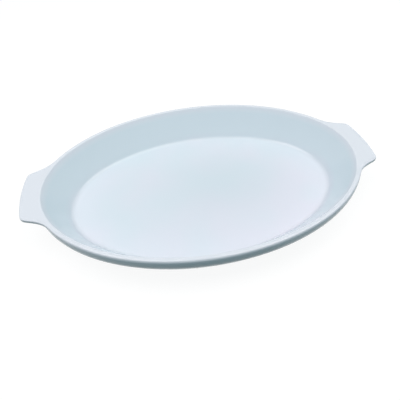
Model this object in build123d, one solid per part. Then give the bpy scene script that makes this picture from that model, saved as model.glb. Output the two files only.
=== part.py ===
from build123d import *
from math import atan, atan2, cos, pi, tan
import os

# An oval gratin dish in glazed stoneware, with a lug handle at each end. Millimetres, +Z up.
# The origin lies on the table under the middle of the dish, and +X runs along its length.
# The clay pieces are drawn first, and the coats of glaze fill what is left inside the finished outline.

# Bowl: the finished rim over its glaze, then the clay under it
rim_length = 294.0
rim_width = 209.0
wall_at_rim = 3.5
floor_thickness = 4.0
cavity_depth = 28.6
cavity_lean = 19.8
cavity_corner_radius = 6.0
collar_height = 7.9
collar_bend_radius = 14.5
belly_radius = 18.0

# Lug handles, level with the rim: the outline in plan
handle_reach = 13.0
handle_thickness = 2.3
handle_tip_width = 58.0
handle_root_width = 78.6
handle_root_length = 30.0
handle_tip_bow = 3.0
handle_corner_radius = 7.0
handle_fairing_radius = 28.0

# Foot ring, left bare where it stands
foot_height = 2.0
foot_ring_width = 4.5
foot_ring_setback = 3.0
foot_edge_radius = 0.8

# Glaze
glaze = 0.4
rim_edge_radius = 0.9

# How far a cutting tool runs past what it cuts, and how near an edge lies to the height it is picked at
overrun = 2.0
level_tolerance = 0.001

# Places and angles worked out from the sizes above
clay_half_length = rim_length / 2 - glaze
clay_half_width = rim_width / 2 - glaze
floor_z = foot_height + floor_thickness
rim_z = floor_z + cavity_depth
lean = atan(cavity_lean / cavity_depth)


def oval(half_length, half_width, z):
    """A level oval face."""
    return Pos(0, 0, z) * Ellipse(half_length, half_width)


def edges_at(solid, z):
    """The solid's edges that lie level at a height."""
    return solid.edges().filter_by_position(Axis.Z, z - level_tolerance, z + level_tolerance)


def leaning_wall(half_length, half_width, top, bottom):
    """A solid oval that narrows downwards at the lean of the wall, from its size at the top."""
    inset = (top - bottom) * tan(lean)
    upper = oval(half_length, half_width, top)
    lower = oval(half_length - inset, half_width - inset, bottom)
    return loft([upper, lower], ruled=True)


def bowl_outside(skin):
    """The outside of the bowl as a full solid: an upright collar, a lean inwards and a round belly."""
    top = rim_z + skin
    bend = rim_z - collar_height - skin * tan(lean / 2)
    bottom = foot_height - skin
    half_length = clay_half_length + skin
    half_width = clay_half_width + skin
    collar = extrude(oval(half_length, half_width, bend), amount=top - bend)
    solid = collar + leaning_wall(half_length, half_width, bend, bottom)
    solid = fillet(edges_at(solid, bend), collar_bend_radius + skin)
    return fillet(edges_at(solid, bottom), belly_radius + skin)


def cavity(skin, top):
    """The space inside the dish, up to a height, narrowed all round by a coat on its wall and floor."""
    coat = skin / cos(lean)
    spread = (top - rim_z) * tan(lean) - coat
    half_length = clay_half_length - wall_at_rim + spread
    half_width = clay_half_width - wall_at_rim + spread
    bottom = floor_z + skin
    space = leaning_wall(half_length, half_width, top, bottom)
    return fillet(edges_at(space, bottom), cavity_corner_radius - skin)


def handle_tab(skin):
    """The plan of the right handle, run in under the rim, with a bowed tip and sides that flare inwards."""
    tip_x = clay_half_length + handle_reach
    corner_x = tip_x - handle_tip_bow
    root_x = tip_x - handle_root_length
    corner_y = handle_tip_width / 2
    root_y = handle_root_width / 2
    flare = atan((root_y - corner_y) / (corner_x - root_x))
    corner_y += skin / cos(flare) - skin * tan(flare)
    root_y += skin / cos(flare)
    near = (corner_x + skin, -corner_y)
    far = (corner_x + skin, corner_y)
    outline = Line((root_x, -root_y), near)
    outline += ThreePointArc(near, (tip_x + skin, 0), far)
    outline += Line(far, (root_x, root_y))
    outline += Line((root_x, root_y), (root_x, -root_y))
    return make_face(outline)


def fairing_radius(root, tip, skin):
    """The fairing between rim and handle, or less where the handle's side would have no room for its corner."""
    side = tip - root
    flare = atan2(abs(side.Y), abs(side.X))
    rim_slope = atan2(abs(root.X) * (clay_half_width + skin) ** 2, abs(root.Y) * (clay_half_length + skin) ** 2)
    room = side.length - handle_corner_radius - skin
    return min(handle_fairing_radius - skin, room / tan((rim_slope - flare) / 2))


def rim_plate(skin):
    """A level plate as thick as the handles, whose outline is the rim with both handles faired into it."""
    tab = handle_tab(skin)
    plan = Ellipse(clay_half_length + skin, clay_half_width + skin) + tab + mirror(tab, about=Plane.YZ)
    bottom = rim_z - handle_thickness - skin
    plate = extrude(Pos(0, 0, bottom) * plan, amount=handle_thickness + 2 * skin)
    upright = plate.edges().filter_by(Axis.Z).sort_by(lambda edge: abs(edge.center().X))
    root = max(upright[:4], key=lambda edge: edge.center().X + edge.center().Y).center()
    tip = max(upright[-4:], key=lambda edge: edge.center().X + edge.center().Y).center()
    plate = fillet(upright[:4], fairing_radius(root, tip, skin))
    upright = plate.edges().filter_by(Axis.Z).sort_by(lambda edge: abs(edge.center().X))
    return fillet(upright[-4:], handle_corner_radius + skin)


def foot_half_sizes():
    """Half the length and width of the foot ring outside, set back from the edge of the flat underside."""
    inset = (rim_z - collar_height - foot_height) * tan(lean)
    flat_edge = inset + belly_radius * tan((pi / 2 - lean) / 2)
    setback = flat_edge + foot_ring_setback
    return clay_half_length - setback, clay_half_width - setback


def make_bowl():
    """The clay bowl: floor, wall and rim."""
    return bowl_outside(0) - cavity(0, rim_z + overrun)


def make_handles():
    """The two clay lugs, left then right, each seated against the collar."""
    core = extrude(oval(clay_half_length, clay_half_width, rim_z - collar_height), amount=2 * collar_height)
    return (rim_plate(0) - core).solids().sort_by(Axis.X)


def make_foot_ring():
    """The oval ring that the dish stands on."""
    half_length, half_width = foot_half_sizes()
    outside = oval(half_length, half_width, 0)
    inside = oval(half_length - foot_ring_width, half_width - foot_ring_width, 0)
    ring = extrude(outside - inside, amount=foot_height)
    return fillet(edges_at(ring, 0), foot_edge_radius)


def make_base_glaze():
    """The coat on the underside, within the foot ring."""
    half_length, half_width = foot_half_sizes()
    inside = oval(half_length - foot_ring_width, half_width - foot_ring_width, foot_height - glaze)
    return extrude(inside, amount=glaze)


def finished_dish():
    """The whole dish as its glaze leaves it, without the foot ring."""
    top = rim_z + glaze
    dish = bowl_outside(glaze) + rim_plate(glaze) - cavity(glaze, top + overrun)
    return fillet(edges_at(dish, top), rim_edge_radius)


def make_glazes():
    """The coat inside the cavity, and the coat over the rim, the handles and the outside."""
    dish = finished_dish()
    foot_half_length, foot_half_width = foot_half_sizes()
    foot = extrude(oval(foot_half_length, foot_half_width, 0), amount=foot_height)
    return dish & cavity(0, rim_z), dish - bowl_outside(0) - rim_plate(0) - foot


os.makedirs("parts", exist_ok=True)
bowl = make_bowl()
left_handle, right_handle = make_handles()
inside_glaze, outside_glaze = make_glazes()
pieces = {
    "clay_bowl": bowl,
    "left_handle": left_handle,
    "right_handle": right_handle,
    "foot_ring": make_foot_ring(),
    "inside_glaze": inside_glaze,
    "outside_glaze": outside_glaze,
    "base_glaze": make_base_glaze(),
}
for name, piece in pieces.items():
    export_step(piece, f"parts/{name}.step")
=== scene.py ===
"""An oval gratin dish in white glazed stoneware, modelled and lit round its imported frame.

Sizes are in metres and +Z is up. +X runs along the dish, and the photograph looks along +Y.
"""

import logging
from collections.abc import Callable
from dataclasses import dataclass
from enum import Enum
from math import atan2, cos, hypot, pi, radians, sin, tan
from typing import Any

import bmesh
import bpy
from mathutils import Matrix, Vector

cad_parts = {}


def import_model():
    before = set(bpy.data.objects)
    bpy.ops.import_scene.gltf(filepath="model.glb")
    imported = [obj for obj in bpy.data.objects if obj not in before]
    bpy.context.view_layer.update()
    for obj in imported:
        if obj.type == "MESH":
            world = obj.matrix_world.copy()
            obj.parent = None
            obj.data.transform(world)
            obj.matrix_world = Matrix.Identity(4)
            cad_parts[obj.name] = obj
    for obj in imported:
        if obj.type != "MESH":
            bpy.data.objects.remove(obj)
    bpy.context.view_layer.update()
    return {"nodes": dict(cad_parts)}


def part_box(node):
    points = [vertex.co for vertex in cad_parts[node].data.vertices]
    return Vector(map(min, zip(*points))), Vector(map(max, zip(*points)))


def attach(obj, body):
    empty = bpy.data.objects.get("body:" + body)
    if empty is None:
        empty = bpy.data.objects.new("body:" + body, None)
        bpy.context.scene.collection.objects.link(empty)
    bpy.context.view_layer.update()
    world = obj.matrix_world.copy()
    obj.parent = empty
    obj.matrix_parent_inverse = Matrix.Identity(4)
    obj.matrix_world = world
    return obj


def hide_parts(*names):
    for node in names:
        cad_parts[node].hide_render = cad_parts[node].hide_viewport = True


LOG = logging.getLogger("gratin_dish")
BODY = "root"
MM = 0.001
ORIGIN = (0.0, 0.0, 0.0)
WHITE = (1.0, 1.0, 1.0, 1.0)
# The largest angle between two faces, in degrees, that is still shaded smooth
SMOOTH_ANGLE = 50.0
# The points in each ring of a control cage, and how many columns of faces lie across half a handle
COLUMNS = 64
HANDLE_COLUMNS = 4
# How often a control cage is rounded off, and how much larger than the rounded oval its rings are
ROUNDING_LEVELS = 2
CAGE_SWELL = 1.001607
# How near a point or a face lies to the height or the place that it is picked at
NEAR = 0.01 * MM
# How near to 1 a point's distance from the middle is, as a share of the ring that it lies on
NEAR_RING = 0.001
# How little the normal of an upright face points up or down
UPRIGHT = 0.1
# The colour sockets of a Mix node, which share their names with its sockets for plain numbers
MIX_FROM, MIX_TO, MIX_RESULT = 6, 7, 2


class Slot(Enum):
    """Names for the dish's two materials."""

    GLAZE = "white_glaze"
    STONEWARE = "bare_stoneware"


class Pick(Enum):
    """The elements of a mesh that can be picked."""

    POINTS = "VERT"
    EDGES = "EDGE"
    FACES = "FACE"


class Facing(Enum):
    """The way that the level faces of a sheet look before it gets its thickness."""

    UP = 1
    DOWN = -1


@dataclass(frozen=True)
class Oval:
    """A level oval, by half its length, half its width and its height."""

    half_length: float
    half_width: float
    height: float

    def inset(self, inward: float, height: float) -> "Oval":
        """The oval that lies inside this one by the same amount all round, at another height."""
        return Oval(self.half_length - inward, self.half_width - inward, height)

    def scaled(self, share: float) -> "Oval":
        """The oval of the same proportions and height, at a share of the size."""
        return Oval(self.half_length * share, self.half_width * share, self.height)

    def reach(self, place: Vector) -> float:
        """How far out a place lies, as a share of the oval's own reach in that direction."""
        return hypot(place.x / self.half_length, place.y / self.half_width)


@dataclass(frozen=True)
class Bend:
    """A round bend between two straight stretches of a section, as points of (inset, height).

    The section runs down the dish. Angles are from upright, and a stretch that leans inwards as it
    goes down has a positive one.
    """

    corner: tuple[float, float]
    angle_before: float
    angle_after: float
    radius: float

    def points(self, steps: int) -> list[tuple[float, float]]:
        """The points along the bend, from its start to its end.

        Args:
            steps: how many equal steps the bend is divided into.

        Returns:
            The points, as (inset, height).
        """
        turn = self.angle_after - self.angle_before
        reach = self.radius * tan(abs(turn) / 2)
        inset = self.corner[0] - reach * sin(self.angle_before)
        height = self.corner[1] + reach * cos(self.angle_before)
        chord = 2 * self.radius * sin(abs(turn) / steps / 2)
        found = [(inset, height)]
        for step in range(steps):
            heading = self.angle_before + turn * (step + 0.5) / steps
            inset += chord * sin(heading)
            height -= chord * cos(heading)
            found.append((inset, height))
        return found


@dataclass
class Workbench:
    """One new mesh, shaped in edit mode with the modelling operators."""

    piece: bpy.types.Object
    last: Oval

    @classmethod
    def start(cls, name: str, oval: Oval) -> "Workbench":
        """Puts an open ring of points on the bench.

        Args:
            name: the name of the piece.
            oval: where the ring lies.

        Returns:
            The bench, with the ring selected.
        """
        bpy.ops.object.select_all(action="DESELECT")
        bpy.ops.mesh.primitive_circle_add(
            vertices=COLUMNS, radius=1.0, fill_type="NOTHING", enter_editmode=True
        )
        piece = bpy.context.object
        piece.name = piece.data.name = name
        bpy.ops.mesh.select_all(action="SELECT")
        bench = cls(piece, Oval(1.0, 1.0, 0.0))
        bench.fit(oval)
        return bench

    def fit(self, oval: Oval) -> None:
        """Brings the selected ring from the last oval to this one."""
        lengthwise = oval.half_length / self.last.half_length
        crosswise = oval.half_width / self.last.half_width
        bpy.ops.transform.resize(value=(lengthwise, crosswise, 1.0), center_override=ORIGIN)
        bpy.ops.transform.translate(value=(0.0, 0.0, oval.height - self.last.height))
        self.last = oval

    def extrude(self, oval: Oval) -> None:
        """Extrudes the selected ring to an oval."""
        bpy.ops.mesh.extrude_region_move()
        self.fit(oval)

    def extrude_all(self, ovals: list[Oval]) -> None:
        """Extrudes the selected ring through several ovals, one after the other."""
        for oval in ovals:
            self.extrude(oval)

    def close(self) -> None:
        """Fills the selected ring with a square grid of faces."""
        bpy.ops.mesh.fill_grid(span=COLUMNS // 4)

    def pick(self, kind: Pick, wanted: Callable[[Any], bool]) -> None:
        """Selects the points, edges or faces that a test accepts, and nothing else.

        Args:
            kind: what is picked.
            wanted: the test, which is given each point, edge or face.
        """
        bpy.ops.mesh.select_mode(type=kind.value)
        bpy.ops.mesh.select_all(action="DESELECT")
        mesh = bmesh.from_edit_mesh(self.piece.data)
        mesh.normal_update()
        for item in {Pick.POINTS: mesh.verts, Pick.EDGES: mesh.edges, Pick.FACES: mesh.faces}[kind]:
            if wanted(item):
                item.select_set(True)
        mesh.select_flush_mode()
        bmesh.update_edit_mesh(self.piece.data)

    def pick_numbers(self, numbers: list[int]) -> None:
        """Selects the points with these numbers, and nothing else."""
        wanted = set(numbers)
        self.pick(Pick.POINTS, lambda point: point.index in wanted)

    def picked_points(self) -> dict[int, Vector]:
        """The selected points, by their number."""
        mesh = bmesh.from_edit_mesh(self.piece.data)
        return {point.index: point.co.copy() for point in mesh.verts if point.select}

    def turn_out(self, height: float, facing: Facing) -> None:
        """Turns all faces the same way, so that the level ones at a height look up or down."""
        bpy.ops.mesh.select_all(action="SELECT")
        bpy.ops.mesh.normals_make_consistent(inside=False)
        mesh = bmesh.from_edit_mesh(self.piece.data)
        mesh.normal_update()
        level = [face for face in mesh.faces if abs(face.calc_center_median().z - height) < NEAR]
        if sum(face.normal.z for face in level) * facing.value < 0:
            bpy.ops.mesh.flip_normals()

    def leave(self) -> bpy.types.Object:
        """Ends edit mode and hands over the piece."""
        bpy.ops.object.mode_set(mode="OBJECT")
        return self.piece


def apply_modifier(piece: bpy.types.Object, kind: str, **settings: Any) -> None:
    """Adds a modifier to a piece and applies it.

    Args:
        piece: the piece, which is the active object.
        kind: the modifier's type.
        settings: the modifier's settings, by name.
    """
    modifier = piece.modifiers.new(kind.lower(), kind)
    for name, value in settings.items():
        setattr(modifier, name, value)
    bpy.ops.object.modifier_apply(modifier=modifier.name)


def round_off(piece: bpy.types.Object) -> None:
    """Rounds off a piece's control cage into its finished surface."""
    apply_modifier(piece, "SUBSURF", levels=ROUNDING_LEVELS, render_levels=ROUNDING_LEVELS)


def thicken(piece: bpy.types.Object, thickness: float) -> None:
    """Gives a sheet its thickness, on the side away from its faces."""
    apply_modifier(piece, "SOLIDIFY", thickness=thickness, offset=-1.0, use_even_offset=True)


def shade_smooth() -> None:
    """Shades the active piece smooth, up to its sharp edges."""
    bpy.ops.object.shade_smooth_by_angle(angle=radians(SMOOTH_ANGLE))


def linear(colour: str) -> tuple[float, float, float, float]:
    """An sRGB hex colour, such as #e6ecf2, as the linear colour that a shader takes.

    Args:
        colour: the colour, as # and six hex digits.

    Returns:
        Red, green, blue and an alpha of 1.
    """
    parts = [int(colour[place : place + 2], 16) / 255 for place in (1, 3, 5)]
    red, green, blue = (
        part / 12.92 if part <= 0.04045 else ((part + 0.055) / 1.055) ** 2.4 for part in parts
    )
    return red, green, blue, 1.0


def add_node(
    tree: bpy.types.NodeTree, kind: str, sockets: dict[Any, Any], **settings: Any
) -> bpy.types.Node:
    """Adds a node with its settings, values and links.

    Args:
        tree: the node tree.
        kind: the node's type, without the words ShaderNode.
        sockets: for each input, its value or the output that is linked to it.
        settings: the node's own settings, by name.

    Returns:
        The node.
    """
    node = tree.nodes.new(f"ShaderNode{kind}")
    for name, value in settings.items():
        setattr(node, name, value)
    for socket, value in sockets.items():
        if isinstance(value, bpy.types.NodeSocket):
            tree.links.new(value, node.inputs[socket])
        else:
            node.inputs[socket].default_value = value
    return node


def empty_material(name: str) -> bpy.types.Material:
    """A material with no nodes yet."""
    material = bpy.data.materials.new(name)
    material.use_nodes = True
    material.node_tree.nodes.clear()
    return material


def direction(azimuth: float, elevation: float) -> Vector:
    """The direction in which something stands, as seen from the dish.

    Args:
        azimuth: in degrees, 0 in front of the dish and 90 at its left.
        elevation: in degrees above the table.

    Returns:
        The direction, with a length of 1.
    """
    turn, rise = radians(azimuth), radians(elevation)
    return Vector((-sin(turn) * cos(rise), -cos(turn) * cos(rise), sin(rise)))


@dataclass(frozen=True)
class Section:
    """The finished section of the dish, which its coats follow down the inside and the outside.

    A support is how far beside an edge a loop of the control cage lies to keep it crisp, and the
    rim crown is where the loop on the rim's top lies. The steps say how many stretches of the cage
    each part of the section has.
    """

    rim: Oval
    foot: Oval
    base: Oval
    underside: float
    glaze: float = 0.4 * MM
    lean: float = radians(34.7)
    rim_top: float = 4.11 * MM
    floor_height: float = 6.4 * MM
    floor_corner_radius: float = 5.6 * MM
    seam_depth: float = 0.68 * MM
    edge_support: float = 1.58 * MM
    rim_crown: float = 2.6 * MM
    rim_edge_inset: float = 0.9 * MM
    inner_edge_support: float = 0.84 * MM
    handle_thickness: float = 3.1 * MM
    collar_height: float = 8.42 * MM
    collar_bend_radius: float = 14.9 * MM
    belly_radius: float = 18.4 * MM
    last_inset: float = 62 * MM
    bend_steps: int = 4
    outside_steps: int = 2
    belly_steps: int = 5
    inside_steps: int = 4
    corner_steps: int = 4
    floor_steps: int = 3

    @classmethod
    def of_frame(cls) -> "Section":
        """The section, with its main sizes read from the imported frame."""
        glaze = cls.glaze
        bowl_top = Vector(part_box("clay_bowl")[1])
        foot_low, foot_high = (Vector(corner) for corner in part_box("foot_ring"))
        base_low, base_high = (Vector(corner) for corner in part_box("base_glaze"))
        return cls(
            rim=Oval(bowl_top.x + glaze, bowl_top.y + glaze, bowl_top.z + glaze),
            foot=Oval(foot_high.x, foot_high.y, foot_low.z),
            base=Oval(base_high.x, base_high.y, base_low.z),
            underside=base_low.z,
        )

    def inside(self, depth: float) -> float:
        """How far the inside wall stands in from the rim's outer edge, at a depth below the rim."""
        return self.rim_top + depth * tan(self.lean)

    def outside(self, height: float) -> float:
        """How far the leaning outside wall stands in from the rim's outer edge, at a height."""
        return (self.rim.height - self.collar_height - height) * tan(self.lean)

    def foot_edge(self) -> float:
        """How far the foot ring stands in from the rim's outer edge."""
        return self.rim.half_length - self.foot.half_length

    def ring(self, inset: float, height: float) -> Oval:
        """A ring of a control cage, a little larger than the oval that it rounds off to."""
        return self.rim.inset(inset, height).scaled(CAGE_SWELL)

    def rings(self, places: list[tuple[float, float]]) -> list[Oval]:
        """The rings of a control cage at several places, given as (inset, height)."""
        return [self.ring(inset, height) for inset, height in places]

    def floor_places(self, flat: float, height: float) -> list[tuple[float, float]]:
        """The rings on the flat of the floor, as (inset, height).

        Args:
            flat: how far in from the rim's outer edge the flat starts.
            height: the height of the flat.

        Returns:
            The rings, from the corner inwards.
        """
        width = self.last_inset - flat
        steps = range(1, self.floor_steps + 1)
        return [(flat + width * step / self.floor_steps, height) for step in steps]

    def seam(self) -> Oval:
        """Where the inside coat and the outside coat meet, just below the rim's inner edge."""
        return self.ring(self.inside(self.seam_depth), self.rim.height - self.seam_depth)


@dataclass(frozen=True)
class HandleOutline:
    """The plan of a handle, in the quarter where X and Y are positive.

    Each of the fairing places is a control point, as how far along the fairing it lies and how far
    from its centre.
    """

    rim: Oval
    tip: float
    tip_half_width: float = 29.28 * MM
    tip_bow: float = 3.0 * MM
    flare: float = radians(20.9)
    corner_support: float = 6.5 * MM
    fairing_start: float = radians(25.4)
    fairing_places: tuple[tuple[float, float], ...] = ((0.3, 1.026), (0.75, 1.008))

    @classmethod
    def of_frame(cls, section: Section) -> "HandleOutline":
        """The outline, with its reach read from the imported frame."""
        return cls(rim=section.rim, tip=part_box("outside_glaze")[1][0])

    def tip_radius(self) -> float:
        """The radius of the bowed tip."""
        return (self.tip_half_width**2 + self.tip_bow**2) / (2 * self.tip_bow)

    def on_tip(self, across: float) -> Vector:
        """The place on the bowed tip at a distance from its middle."""
        radius = self.tip_radius()
        return Vector((self.tip - radius + (radius**2 - across**2) ** 0.5, across))

    def corner(self) -> Vector:
        """Where the tip and the side would meet without the round corner."""
        return self.on_tip(self.tip_half_width)

    def on_side(self, back: float) -> Vector:
        """The place on the side at a distance back from the corner."""
        return self.corner() + Vector((-cos(self.flare), sin(self.flare))) * back

    def on_fairing(self, share: float, swell: float) -> Vector:
        """The place on the hollow fairing between the rim and the side, as a control point.

        Args:
            share: how far along the fairing, from 0 on the rim to 1 on the side.
            swell: how far the point lies from the fairing's centre, as a share of its radius.

        Returns:
            The place in plan.
        """
        start = self.fairing_start
        half_length, half_width = self.rim.half_length, self.rim.half_width
        foot = Vector((half_length * cos(start), half_width * sin(start)))
        away = Vector((half_width * cos(start), half_length * sin(start))).normalized()
        side_away = Vector((sin(self.flare), cos(self.flare)))
        radius = (foot - self.corner()).dot(side_away) / (1 - away.dot(side_away))
        centre = foot + away * radius
        first, last = atan2(away.y, away.x), atan2(side_away.y, side_away.x)
        angle = first + (last - first) * share
        return centre - Vector((cos(angle), sin(angle))) * radius * swell


@dataclass
class InsideCoat:
    """The coat on the floor and the inside of the wall."""

    section: Section

    def build(self) -> bpy.types.Object:
        """Models the coat, from its seam under the rim to the middle of the floor."""
        section = self.section
        floor = section.floor_height
        foot_of_wall = (section.inside(section.rim.height - floor), floor)
        bend = Bend(foot_of_wall, section.lean, pi / 2, section.floor_corner_radius)
        corner = bend.points(section.corner_steps)
        bench = Workbench.start("inside_coat", section.seam())
        below_seam = section.rim.height - corner[0][1] - section.seam_depth
        for step in range(1, section.inside_steps):
            down = section.seam_depth + below_seam * step / section.inside_steps
            bench.extrude(section.ring(section.inside(down), section.rim.height - down))
        bench.extrude_all(section.rings(corner + section.floor_places(corner[-1][0], floor)))
        bench.close()
        bench.turn_out(section.floor_height, Facing.UP)
        piece = bench.leave()
        round_off(piece)
        thicken(piece, section.glaze)
        shade_smooth()
        return piece


@dataclass
class OutsideCoat:
    """The coat over the rim, both handles and the outside, down to the foot ring.

    The pull shares say how far out the first steps of a handle reach, and the tip shares where its
    columns end across the tip. The rim's rounder edge starts some columns beside each handle.
    """

    section: Section
    outline: HandleOutline
    pull_shares: tuple[float, ...] = (0.3, 0.65)
    tip_shares: tuple[float, ...] = (0.0, 0.27, 0.53, 0.78)
    columns_beside: float = 1.5

    def build(self) -> bpy.types.Object:
        """Models the coat down the outside, then both handles and the rim's inner edge."""
        section = self.section
        top = section.rim.height
        top_ring = section.ring(section.rim_top - section.inner_edge_support, top)
        bench = Workbench.start("outside_coat", top_ring)
        bench.extrude_all(section.rings(self.outside_places()))
        self.pull_handles(bench)
        self.hold_edges(bench)
        self.round_rim(bench)
        bench.pick(
            Pick.EDGES,
            lambda edge: edge.is_boundary and edge.verts[0].co.z > section.floor_height,
        )
        bench.last = top_ring
        bench.extrude(section.ring(section.rim_top, top))
        bench.extrude(section.seam())
        bench.turn_out(top, Facing.UP)
        piece = bench.leave()
        round_off(piece)
        thicken(piece, section.glaze)
        shade_smooth()
        return piece

    def outside_places(self) -> list[tuple[float, float]]:
        """The rings of the cage down the outside, as (inset, height)."""
        section = self.section
        top, bottom = section.rim.height, section.underside
        handle_bottom = top - section.handle_thickness
        foot_of_collar = (0.0, top - section.collar_height)
        bend = Bend(foot_of_collar, 0.0, section.lean, section.collar_bend_radius)
        foot_of_wall = (section.outside(bottom), bottom)
        belly = Bend(foot_of_wall, section.lean, pi / 2, section.belly_radius)
        bend_places = bend.points(section.bend_steps)
        belly_places = belly.points(section.belly_steps)
        start, end = bend_places[-1], belly_places[0]
        wall = [
            tuple(a + (b - a) * step / section.outside_steps for a, b in zip(start, end))
            for step in range(1, section.outside_steps)
        ]
        upright = [(0.0, top), (0.0, (top + handle_bottom) / 2), (0.0, handle_bottom)]
        return upright + bend_places + wall + belly_places + [(section.foot_edge(), bottom)]

    def pull_handles(self, bench: Workbench) -> None:
        """Pulls both handles out of the collar, in three steps, and fairs their sides into the rim.

        Args:
            bench: the bench with the cage, down to the foot.
        """
        section, outline = self.section, self.outline
        low = section.rim.height - section.handle_thickness
        turns = [2 * pi * column / COLUMNS for column in range(HANDLE_COLUMNS + 1)]
        ring = section.ring(0.0, section.rim.height)
        start = [
            Vector((ring.half_length * cos(turn), ring.half_width * sin(turn))) for turn in turns
        ]
        bench.pick(
            Pick.FACES,
            lambda face: low < face.calc_center_median().z < section.rim.height
            and abs(face.calc_center_median().y) < start[-1].y
            and abs(face.normal.z) < UPRIGHT,
        )
        near_rim, near_side = (outline.on_fairing(*place) for place in outline.fairing_places)
        base = start[:-1] + [near_rim]
        self.move_columns(bench, start, base)
        tip = [outline.on_tip(outline.tip_half_width * share) for share in self.tip_shares]
        tip.append(outline.corner())
        sides = (near_side, outline.on_side(outline.corner_support))
        for share, side in zip(self.pull_shares, sides):
            bpy.ops.mesh.extrude_region_move()
            after = [a.lerp(b, share) for a, b in zip(start[:-1], tip)] + [side]
            self.move_columns(bench, base, after)
            base = after
        bpy.ops.mesh.extrude_region_move()
        self.move_columns(bench, base, tip)

    def move_columns(self, bench: Workbench, before: list[Vector], after: list[Vector]) -> None:
        """Moves each column of the picked points to another place in plan, on both handles.

        Args:
            bench: the bench with the cage.
            before: where each column stands, from the middle of a handle to its side.
            after: where it goes.
        """
        picked = bench.picked_points()
        for old, new in zip(before, after):
            column = [
                number
                for number, place in picked.items()
                if (Vector((abs(place.x), abs(place.y))) - old).length < NEAR
            ]
            bench.pick_numbers(column)
            bpy.ops.transform.resize(
                value=(new.x / old.x, new.y / old.y if old.y else 1.0, 1.0), center_override=ORIGIN
            )
        bench.pick_numbers(list(picked))

    def hold_edges(self, bench: Workbench) -> None:
        """Adds a loop beside the outer edges of the rim and of the handles' undersides."""
        section = self.section
        top, low = section.rim.height, section.rim.height - section.handle_thickness
        bench.pick(Pick.FACES, lambda face: abs(face.calc_center_median().z - top) < NEAR)
        bpy.ops.mesh.inset(thickness=section.rim_crown, use_boundary=False)
        bench.pick(Pick.FACES, lambda face: abs(face.calc_center_median().z - low) < NEAR)
        bpy.ops.mesh.inset(thickness=section.edge_support, use_boundary=True)

    def round_rim(self, bench: Workbench) -> None:
        """Draws the rim's upper outer edge inwards between the handles, to round it off more."""
        section = self.section
        top = section.rim.height
        ring = section.ring(0.0, top)
        columns = HANDLE_COLUMNS + self.columns_beside
        handle_side = ring.half_width * sin(2 * pi * columns / COLUMNS)
        bench.pick(
            Pick.POINTS,
            lambda point: abs(point.co.z - top) < NEAR
            and abs(point.co.y) > handle_side
            and abs(ring.reach(point.co) - 1) < NEAR_RING,
        )
        bench.last = ring
        bench.fit(section.ring(section.rim_edge_inset, top))


@dataclass
class ClayBody:
    """The clay bowl under its coats, which follows them at the thickness of the glaze."""

    section: Section

    def build(self) -> bpy.types.Object:
        """Models the bowl, from its rim down the outside to the underside, then down the inside."""
        section, skin = self.section, self.section.glaze
        top, bottom = section.rim.height - skin, section.underside + skin
        rim_ring = section.ring(section.rim_crown, top)
        bench = Workbench.start("clay_body", rim_ring)
        bench.extrude_all(section.rings(self.outside_places(top, bottom)))
        bench.close()
        bench.pick(Pick.EDGES, lambda edge: edge.is_boundary)
        bench.last = rim_ring
        bench.extrude_all(section.rings(self.inside_places()))
        bench.close()
        bench.turn_out(bottom, Facing.DOWN)
        piece = bench.leave()
        round_off(piece)
        shade_smooth()
        return piece

    def outside_places(self, top: float, bottom: float) -> list[tuple[float, float]]:
        """The rings down the outside, as (inset, height).

        Args:
            top: the height of the clay rim.
            bottom: the height of the flat clay underside.

        Returns:
            The rings, from the rim to the edge of the foot.
        """
        section, skin = self.section, self.section.glaze
        handle_bottom = section.rim.height - section.handle_thickness
        bend_height = section.rim.height - section.collar_height + skin * tan(section.lean / 2)
        belly_inset = skin + (bend_height - bottom) * tan(section.lean)
        bend = Bend((skin, bend_height), 0.0, section.lean, section.collar_bend_radius - skin)
        belly = Bend((belly_inset, bottom), section.lean, pi / 2, section.belly_radius - skin)
        upright = [
            (section.rim_edge_inset + skin, top),
            (skin, (section.rim.height + handle_bottom) / 2),
            (skin, handle_bottom),
        ]
        bends = bend.points(section.bend_steps) + belly.points(section.belly_steps)
        return upright + bends + [(section.foot_edge(), bottom)]

    def inside_places(self) -> list[tuple[float, float]]:
        """The rings down the inside, as (inset, height), from the clay rim to the floor."""
        section, skin = self.section, self.section.glaze
        behind = skin / cos(section.lean)
        depth = section.rim.height - section.floor_height + skin
        floor = section.floor_height - skin
        foot_of_wall = (section.inside(depth) - behind, floor)
        bend = Bend(foot_of_wall, section.lean, pi / 2, section.floor_corner_radius + skin)
        corner = bend.points(section.corner_steps)
        below_rim = section.rim.height - corner[0][1] - skin
        steps = range(section.inside_steps)
        downs = [skin + below_rim * step / section.inside_steps for step in steps]
        wall = [(section.inside(down) - behind, section.rim.height - down) for down in downs]
        return wall + corner + section.floor_places(corner[-1][0], floor)


@dataclass
class BaseCoat:
    """The coat on the underside within the foot ring, which thins out where it meets the ring."""

    section: Section
    edge: float = 1.2 * MM
    rings: tuple[float, ...] = (4 * MM, 20 * MM, 42 * MM)

    def build(self) -> bpy.types.Object:
        """Models the coat, from its edge to the middle of the underside."""
        base = self.section.base
        edge = base.inset(0.0, base.height + self.section.glaze / 2)
        bench = Workbench.start("base_coat", edge.scaled(CAGE_SWELL))
        for inset in (self.edge,) + self.rings:
            bench.extrude(base.inset(inset, base.height).scaled(CAGE_SWELL))
        bench.close()
        bench.turn_out(base.height, Facing.DOWN)
        piece = bench.leave()
        round_off(piece)
        thicken(piece, self.section.glaze / 2)
        shade_smooth()
        return piece


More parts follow.
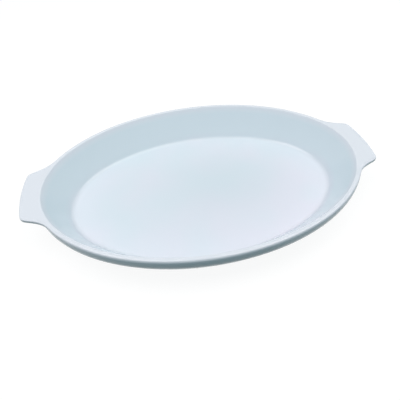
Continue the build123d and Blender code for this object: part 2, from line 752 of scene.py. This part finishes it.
@dataclass
class BareFoot:
    """The oval ring that the dish stands on, with worn edges."""

    section: Section
    width: float = 4.5 * MM
    edge_support: float = 1.3 * MM

    def build(self) -> bpy.types.Object:
        """Models the ring, from its outer wall under to its inner wall, and closes it on top."""
        foot = self.section.foot
        top = foot.height + self.section.underside + self.section.glaze
        places = (
            (0.0, foot.height + self.edge_support),
            (0.0, foot.height),
            (self.edge_support, foot.height),
            (self.width - self.edge_support, foot.height),
            (self.width, foot.height),
            (self.width, foot.height + self.edge_support),
            (self.width, top),
        )
        bench = Workbench.start("bare_foot", foot.inset(0.0, top).scaled(CAGE_SWELL))
        bench.extrude_all([foot.inset(*place).scaled(CAGE_SWELL) for place in places])
        bench.pick(Pick.EDGES, lambda edge: edge.is_boundary)
        bpy.ops.mesh.bridge_edge_loops()
        bench.turn_out(foot.height, Facing.DOWN)
        piece = bench.leave()
        round_off(piece)
        shade_smooth()
        return piece


@dataclass(frozen=True)
class Piece:
    """A finished piece, and what it stands for in the frame."""

    thing: bpy.types.Object
    node: str
    slot: Slot
    material: bpy.types.Material

    def dress(self) -> None:
        """Gives the piece its finish, ties it to the frame and reports it."""
        self.thing.data.materials.append(self.material)
        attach(self.thing, BODY)
        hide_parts(self.node)
        LOG.info("%s, %d faces, for %s", self.thing.name, len(self.thing.data.polygons), self.node)


@dataclass(frozen=True)
class GlazedStoneware:
    """Opaque white glaze, fired glassy on pale stoneware.

    To the eye it is cool white and smooth, with soft glints that a faint ripple bends. Its tint
    changes from patch to patch and towards one side. Over that, painted shade darkens the middle
    of the floor, a painted teal tint stands for the bounced light on the walls and the outside, and
    painted light makes the rim and the handles paler than the floor.
    """

    cool_tint: str = "#dbe8ef"
    warm_tint: str = "#e4e6f0"
    patch_size: float = 55 * MM
    patch_strength: float = 1.6
    warm_side: tuple[float, float, float] = (0.3, -0.95, 0.0)
    warm_reach: float = 220 * MM
    # Painted shade: the middle of the floor turns a deeper, darker teal, most at the centre below
    # and fading out at these half-sizes from it
    painted_floor_shade_tint: str = "#d2e0e7"
    painted_floor_shade_share: float = 0.5
    painted_floor_shade_centre: tuple[float, float, float] = (24 * MM, 4 * MM, 0.0)
    painted_floor_shade_half_length: float = 96 * MM
    painted_floor_shade_half_width: float = 68 * MM
    # Painted tint: from just above the floor upwards, over the walls, the outside and the handles,
    # the glaze turns more teal, standing for the bounced light that tints the walls
    painted_wall_tint: str = "#deeaf1"
    painted_wall_tint_from: float = 7 * MM
    painted_wall_tint_to: float = 14 * MM
    # Painted light: near the top, over the rim and the handles, the glaze turns paler than the
    # floor, as if it caught more light
    painted_rim_light_tint: str = "#e7ebf2"
    painted_rim_light_from: float = 29 * MM
    painted_rim_light_to: float = 34.6 * MM
    roughness: float = 0.14
    ior: float = 1.45
    ripple_length: float = 14 * MM
    ripple_height: float = 0.012 * MM
    detail: float = 1.0

    def material(self) -> bpy.types.Material:
        """The material, with its patterns in real sizes on Object coordinates."""
        material = empty_material("white_glazed_stoneware")
        tree = material.node_tree
        place = add_node(tree, "TexCoord", {}).outputs["Object"]
        colour = self.colour(tree, place)
        sockets = {"Vector": place, "Scale": 1 / self.ripple_length, "Detail": self.detail}
        ripple = add_node(tree, "TexNoise", sockets).outputs["Fac"]
        sockets = {"Height": ripple, "Strength": 1.0, "Distance": self.ripple_height}
        bump = add_node(tree, "Bump", sockets)
        shader = add_node(
            tree,
            "BsdfPrincipled",
            {
                "Base Color": colour,
                "Roughness": self.roughness,
                "IOR": self.ior,
                "Normal": bump.outputs["Normal"],
            },
        )
        add_node(tree, "OutputMaterial", {"Surface": shader.outputs[0]})
        return material

    def colour(self, tree: bpy.types.NodeTree, place: bpy.types.NodeSocket) -> bpy.types.NodeSocket:
        """The glaze's colour: its patches, with painted shade, a painted wall tint and painted
        light over them.

        Args:
            tree: the node tree.
            place: the Object coordinates.

        Returns:
            The colour's output.
        """
        # Painted shade, darkest at the middle of the floor and gone at the edge of its oval
        sockets = {0: place, 1: self.painted_floor_shade_centre}
        from_painted_floor_shade = add_node(tree, "VectorMath", sockets, operation="SUBTRACT").outputs[0]
        sockets = {0: from_painted_floor_shade, 1: (1 / self.painted_floor_shade_half_length, 1 / self.painted_floor_shade_half_width, 0.0)}
        spread = add_node(tree, "VectorMath", sockets, operation="MULTIPLY").outputs[0]
        distance = add_node(tree, "VectorMath", {0: spread}, operation="LENGTH").outputs["Value"]
        sockets = {"Value": distance, "To Min": self.painted_floor_shade_share, "To Max": 0.0}
        painted_floor_shading = add_node(tree, "MapRange", sockets, interpolation_type="SMOOTHERSTEP")
        height = add_node(tree, "SeparateXYZ", {0: place}).outputs["Z"]
        # Painted teal tint for the bounced light on the walls, from these heights upwards
        sockets = {"Value": height, "From Min": self.painted_wall_tint_from, "From Max": self.painted_wall_tint_to}
        painted_wall_tinting = add_node(tree, "MapRange", sockets)
        # Painted light, paler towards the top of the rim and the handles
        sockets = {"Value": height, "From Min": self.painted_rim_light_from, "From Max": self.painted_rim_light_to}
        painted_rim_lighting = add_node(tree, "MapRange", sockets)
        layers = (
            (painted_floor_shading, self.painted_floor_shade_tint),
            (painted_wall_tinting, self.painted_wall_tint),
            (painted_rim_lighting, self.painted_rim_light_tint),
        )
        colour = self.patches(tree, place)
        for share, tint in layers:
            sockets = {"Factor": share.outputs[0], MIX_FROM: colour, MIX_TO: linear(tint)}
            colour = add_node(tree, "Mix", sockets, data_type="RGBA").outputs[MIX_RESULT]
        return colour

    def patches(
        self, tree: bpy.types.NodeTree, place: bpy.types.NodeSocket
    ) -> bpy.types.NodeSocket:
        """The glaze's colour under the painted light and shade, in soft patches of the cool and the
        warm tint.

        Args:
            tree: the node tree.
            place: the Object coordinates.

        Returns:
            The colour's output.
        """
        sockets = {"Vector": place, "Scale": 1 / self.patch_size, "Detail": self.detail}
        patch = add_node(tree, "TexNoise", sockets).outputs["Fac"]
        sockets = {0: place, 1: self.warm_side}
        side = add_node(tree, "VectorMath", sockets, operation="DOT_PRODUCT").outputs["Value"]
        # With this the noise's middle value, a half, gives as much of one tint as of the other
        middle = 0.5 - self.patch_strength / 2
        sockets = {0: side, 1: 1 / self.warm_reach, 2: middle}
        lean = add_node(tree, "Math", sockets, operation="MULTIPLY_ADD").outputs[0]
        sockets = {0: patch, 1: self.patch_strength, 2: lean}
        warmth = add_node(
            tree, "Math", sockets, operation="MULTIPLY_ADD", use_clamp=True
        ).outputs[0]
        sockets = {
            "Factor": warmth,
            MIX_FROM: linear(self.cool_tint),
            MIX_TO: linear(self.warm_tint),
        }
        return add_node(tree, "Mix", sockets, data_type="RGBA").outputs[MIX_RESULT]


@dataclass(frozen=True)
class BareStoneware:
    """Fired stoneware without glaze, to the eye matt, pale warm grey and finely grained."""

    colour: str = "#cfc8bb"
    speck: str = "#b3aa9b"
    speck_size: float = 0.9 * MM
    roughness: float = 0.85
    grain_height: float = 0.05 * MM
    detail: float = 3.0

    def material(self) -> bpy.types.Material:
        """The material, with its grain in real sizes on Object coordinates."""
        material = empty_material("bare_fired_stoneware")
        tree = material.node_tree
        place = add_node(tree, "TexCoord", {}).outputs["Object"]
        sockets = {"Vector": place, "Scale": 1 / self.speck_size, "Detail": self.detail}
        grain = add_node(tree, "TexNoise", sockets).outputs["Fac"]
        sockets = {"Factor": grain, MIX_FROM: linear(self.speck), MIX_TO: linear(self.colour)}
        colour = add_node(tree, "Mix", sockets, data_type="RGBA").outputs[MIX_RESULT]
        sockets = {"Height": grain, "Strength": 1.0, "Distance": self.grain_height}
        bump = add_node(tree, "Bump", sockets)
        shader = add_node(
            tree,
            "BsdfPrincipled",
            {"Base Color": colour, "Roughness": self.roughness, "Normal": bump.outputs["Normal"]},
        )
        add_node(tree, "OutputMaterial", {"Surface": shader.outputs[0]})
        return material


@dataclass(frozen=True)
class Softbox:
    """A square lamp behind a white cloth, aimed at the dish."""

    name: str
    azimuth: float
    level: float
    colour: str
    elevation: float = 65.0
    distance: float = 1.2
    size: float = 0.9

    def hang(self) -> None:
        """Hangs the lamp, so bright that a white card which faces it shows at its level."""
        lamp = bpy.data.lights.new(self.name, "AREA")
        lamp.shape = "SQUARE"
        lamp.size = self.size
        lamp.energy = self.level * (pi * self.distance) ** 2
        lamp.color = linear(self.colour)[:3]
        away = direction(self.azimuth, self.elevation)
        holder = bpy.data.objects.new(self.name, lamp)
        turn = away.to_track_quat("Z", "Y").to_matrix().to_4x4()
        holder.matrix_world = Matrix.Translation(away * self.distance) @ turn
        bpy.context.scene.collection.objects.link(holder)


@dataclass(frozen=True)
class Studio:
    """A white sweep that lights the dish like a grey one, a pale sky and soft lamps."""

    lamps: tuple[Softbox, ...]
    sky: str = "#54828b"
    sky_level: float = 1.0
    floor_tint: str = "#4f5555"
    floor_half_size: float = 3.0
    shown_white: float = 0.92
    shadow_share: float = 0.13

    def build(self) -> None:
        """Lays the floor, sets the sky and hangs the lamps."""
        self.lay_floor()
        self.set_sky()
        for lamp in self.lamps:
            lamp.hang()

    def seen_directly(self, tree: bpy.types.NodeTree) -> bpy.types.NodeSocket:
        """A factor of 1 for rays from the camera, a mirror or glass, and 0 for the rest."""
        path = add_node(tree, "LightPath", {})
        sockets = {0: path.outputs["Is Glossy Ray"], 1: path.outputs["Is Transmission Ray"]}
        shiny = add_node(tree, "Math", sockets, operation="MAXIMUM").outputs[0]
        sockets = {0: path.outputs["Is Camera Ray"], 1: shiny}
        return add_node(tree, "Math", sockets, operation="MAXIMUM").outputs[0]

    def lay_floor(self) -> None:
        """A floor that shows white and keeps the dish's shadow, and throws back little light."""
        bpy.ops.object.select_all(action="DESELECT")
        bpy.ops.mesh.primitive_plane_add(size=2 * self.floor_half_size)
        floor = bpy.context.object
        floor.name = floor.data.name = "floor"
        material = empty_material("pale_paper_floor")
        tree = material.node_tree
        paper = add_node(tree, "BsdfDiffuse", {"Color": (self.shadow_share,) * 3 + (1.0,)})
        glow = add_node(tree, "Emission", {"Color": WHITE, "Strength": self.shown_white})
        shown = add_node(tree, "AddShader", {0: paper.outputs[0], 1: glow.outputs[0]})
        dim = add_node(tree, "BsdfDiffuse", {"Color": linear(self.floor_tint)})
        sockets = {0: self.seen_directly(tree), 1: dim.outputs[0], 2: shown.outputs[0]}
        mixed = add_node(tree, "MixShader", sockets)
        add_node(tree, "OutputMaterial", {"Surface": mixed.outputs[0]})
        floor.data.materials.append(material)

    def set_sky(self) -> None:
        """A sky that shows white and lights the dish at its own level."""
        world = bpy.data.worlds.new("studio")
        bpy.context.scene.world = world
        world.use_nodes = True
        tree = world.node_tree
        tree.nodes.clear()
        lit = add_node(tree, "Background", {"Color": linear(self.sky), "Strength": self.sky_level})
        shown = add_node(tree, "Background", {"Color": WHITE, "Strength": 1.0})
        sockets = {0: self.seen_directly(tree), 1: lit.outputs[0], 2: shown.outputs[0]}
        mixed = add_node(tree, "MixShader", sockets)
        add_node(tree, "OutputWorld", {"Surface": mixed.outputs[0]})


@dataclass(frozen=True)
class PhotoCamera:
    """The camera, by where the middle of the rim stands in its picture of 400 by 400 pixels."""

    azimuth: float = 9.806
    elevation: float = 39.424
    roll: float = 3.15
    distance: float = 348.75 * MM
    lens: float = 34.297
    sensor: float = 36.0
    picture: float = 400.0
    rim_right_of_middle: float = 3.006
    rim_above_middle: float = 33.712
    nearest: float = 10 * MM

    def stand(self, rim_height: float) -> None:
        """Makes the camera and gives it to the scene.

        Args:
            rim_height: the height of the rim's middle, which the camera stands round.
        """
        focal = self.lens / self.sensor * self.picture
        azimuth, elevation = radians(self.azimuth), radians(self.elevation)
        pan = atan2(self.rim_right_of_middle, focal)
        tilt = atan2(self.rim_above_middle, hypot(focal, self.rim_right_of_middle))
        turn = Matrix.Rotation(radians(self.roll), 3, "Z") @ Matrix.Rotation(-pan, 3, "Y")
        turn = turn @ Matrix.Rotation(tilt + elevation - pi / 2, 3, "X")
        turn = turn @ Matrix.Rotation(azimuth, 3, "Z")
        away = direction(self.azimuth, self.elevation)
        place = Vector((0.0, 0.0, rim_height)) + away * self.distance
        camera = bpy.data.cameras.new("photo_camera")
        camera.lens, camera.sensor_width = self.lens, self.sensor
        camera.clip_start = self.nearest
        holder = bpy.data.objects.new("photo_camera", camera)
        holder.matrix_world = Matrix.Translation(place) @ turn.transposed().to_4x4()
        bpy.context.scene.collection.objects.link(holder)
        bpy.context.scene.camera = holder


def main() -> None:
    """Loads the frame, dresses the dish, builds the studio and reports each piece."""
    logging.basicConfig(level=logging.INFO, format="%(name)s: %(message)s")
    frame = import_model()
    glaze = GlazedStoneware().material()
    stoneware = BareStoneware().material()
    for name, node in frame["nodes"].items():
        node.data.materials.clear()
        node.data.materials.append(glaze if "glaze" in name else stoneware)
    section = Section.of_frame()
    outline = HandleOutline.of_frame(section)
    pieces = (
        Piece(InsideCoat(section).build(), "inside_glaze", Slot.GLAZE, glaze),
        Piece(OutsideCoat(section, outline).build(), "outside_glaze", Slot.GLAZE, glaze),
        Piece(BaseCoat(section).build(), "base_glaze", Slot.GLAZE, glaze),
        Piece(ClayBody(section).build(), "clay_bowl", Slot.STONEWARE, stoneware),
        Piece(BareFoot(section).build(), "foot_ring", Slot.STONEWARE, stoneware),
    )
    for piece in pieces:
        piece.dress()
    lamps = (
        Softbox("left_lamp", azimuth=90.0, level=0.565, colour="#ffefed"),
        Softbox("right_lamp", azimuth=270.0, level=0.49, colour="#fff3ef"),
    )
    Studio(lamps).build()
    PhotoCamera().stand(section.rim.height)
    bpy.context.scene.view_settings.view_transform = "Standard"


if __name__ == "__main__":
    main()
